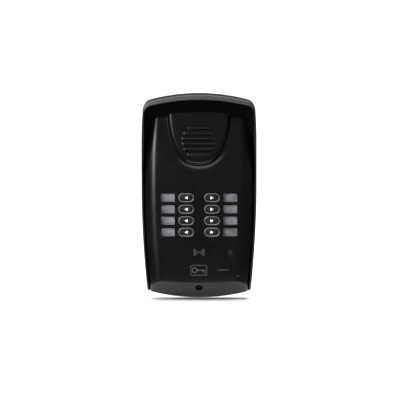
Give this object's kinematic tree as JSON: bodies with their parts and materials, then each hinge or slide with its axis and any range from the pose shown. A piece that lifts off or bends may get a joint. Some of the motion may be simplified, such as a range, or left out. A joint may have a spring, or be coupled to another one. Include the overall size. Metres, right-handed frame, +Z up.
{
  "type": "door entry card reader",
  "caption": "Wall-mounted door-entry station with a card reader, rain hood, speaker grille, sprung call keys and name windows.",
  "frame": {"origin": "centre of the flat back, on the wall, at half the width and half the height", "axes": "+X to the viewer's right, +Y into the wall, +Z up; the face looks along -Y"},
  "size_m": [0.12, 0.06, 0.213],
  "materials": {
    "hood_plastic": "satin black moulded plastic",
    "face_plastic": "satin black moulded plastic",
    "base_plastic": "matte black moulded plastic",
    "foam_rubber": "closed-cell sealing foam",
    "silicone": "grey silicone rubber",
    "clear_window": "clear acrylic",
    "label_card": "silver-grey blank label card",
    "circuit_board": "green solder mask",
    "led_body": "cream plastic",
    "chip_plastic": "black epoxy",
    "relay_plastic": "blue plastic",
    "terminal_plastic": "green plastic",
    "steel": "zinc-plated steel",
    "capacitor_sleeve": "shrink-sleeved can",
    "smoked_lens": "smoked polycarbonate",
    "seal_rubber": "black rubber",
    "speaker_steel": "pressed steel",
    "speaker_paper": "treated paper",
    "magnet_ferrite": "ferrite",
    "mesh_cloth": "woven acoustic cloth",
    "copper_wire": "enamelled copper wire",
    "former_plastic": "natural nylon",
    "black_steel": "black-passivated steel",
    "brass_insert": "knurled brass",
    "key_plastic": "satin black plastic",
    "arrow_print": "white inlay",
    "silver_trim": "satin silver"
  },
  "bodies": {
    "case": {"rain_hood": "hood_plastic", "face_panel": "face_plastic", "wall_base": "base_plastic", "wall_gasket": "foam_rubber", "panel_gasket": "foam_rubber", "key_ring_1": "silver_trim", "key_ring_2": "silver_trim", "key_ring_3": "silver_trim", "key_ring_4": "silver_trim", "key_ring_5": "silver_trim", "key_ring_6": "silver_trim", "key_ring_7": "silver_trim", "key_ring_8": "silver_trim", "keypad_mat": "silicone", "window_left": "clear_window", "window_right": "clear_window", "label_strip_left": "label_card", "label_strip_right": "label_card", "main_board": "circuit_board", "backlight_leds": "led_body", "microcontroller": "chip_plastic", "lock_relay": "relay_plastic", "terminal_block": "terminal_plastic", "terminal_screws": "steel", "capacitors": "capacitor_sleeve", "trimmer_body": "relay_plastic", "trimmer_rotor": "led_body", "status_lens": "smoked_lens", "status_led": "led_body", "microphone": "steel", "microphone_boot": "seal_rubber", "speaker_basket": "speaker_steel", "speaker_cone": "speaker_paper", "speaker_magnet": "magnet_ferrite", "speaker_gasket": "foam_rubber", "grille_mesh": "mesh_cloth", "antenna_coil": "copper_wire", "antenna_former": "former_plastic", "fixing_screw": "black_steel", "threaded_insert": "brass_insert", "board_screws": "steel", "panel_screws": "steel", "speaker_screws": "steel", "cable_grommet": "seal_rubber"},
    "key_1": {"key_cap_1": "key_plastic", "key_arrow_1": "arrow_print"},
    "key_2": {"key_cap_2": "key_plastic", "key_arrow_2": "arrow_print"},
    "key_3": {"key_cap_3": "key_plastic", "key_arrow_3": "arrow_print"},
    "key_4": {"key_cap_4": "key_plastic", "key_arrow_4": "arrow_print"},
    "key_5": {"key_cap_5": "key_plastic", "key_arrow_5": "arrow_print"},
    "key_6": {"key_cap_6": "key_plastic", "key_arrow_6": "arrow_print"},
    "key_7": {"key_cap_7": "key_plastic", "key_arrow_7": "arrow_print"},
    "key_8": {"key_cap_8": "key_plastic", "key_arrow_8": "arrow_print"}
  },
  "joints": [
    {"name": "key_1_press", "type": "slide", "parent": "case", "child": "key_1", "axis": [0, 1, 0], "range_m": [0, 0.0012], "stiffness_N_per_m": 1200, "springref_m": -0.0005, "deforming": ["keypad_mat"]},
    {"name": "key_2_press", "type": "slide", "parent": "case", "child": "key_2", "axis": [0, 1, 0], "range_m": [0, 0.0012], "stiffness_N_per_m": 1200, "springref_m": -0.0005, "deforming": ["keypad_mat"]},
    {"name": "key_3_press", "type": "slide", "parent": "case", "child": "key_3", "axis": [0, 1, 0], "range_m": [0, 0.0012], "stiffness_N_per_m": 1200, "springref_m": -0.0005, "deforming": ["keypad_mat"]},
    {"name": "key_4_press", "type": "slide", "parent": "case", "child": "key_4", "axis": [0, 1, 0], "range_m": [0, 0.0012], "stiffness_N_per_m": 1200, "springref_m": -0.0005, "deforming": ["keypad_mat"]},
    {"name": "key_5_press", "type": "slide", "parent": "case", "child": "key_5", "axis": [0, 1, 0], "range_m": [0, 0.0012], "stiffness_N_per_m": 1200, "springref_m": -0.0005, "deforming": ["keypad_mat"]},
    {"name": "key_6_press", "type": "slide", "parent": "case", "child": "key_6", "axis": [0, 1, 0], "range_m": [0, 0.0012], "stiffness_N_per_m": 1200, "springref_m": -0.0005, "deforming": ["keypad_mat"]},
    {"name": "key_7_press", "type": "slide", "parent": "case", "child": "key_7", "axis": [0, 1, 0], "range_m": [0, 0.0012], "stiffness_N_per_m": 1200, "springref_m": -0.0005, "deforming": ["keypad_mat"]},
    {"name": "key_8_press", "type": "slide", "parent": "case", "child": "key_8", "axis": [0, 1, 0], "range_m": [0, 0.0012], "stiffness_N_per_m": 1200, "springref_m": -0.0005, "deforming": ["keypad_mat"]}
  ]
}
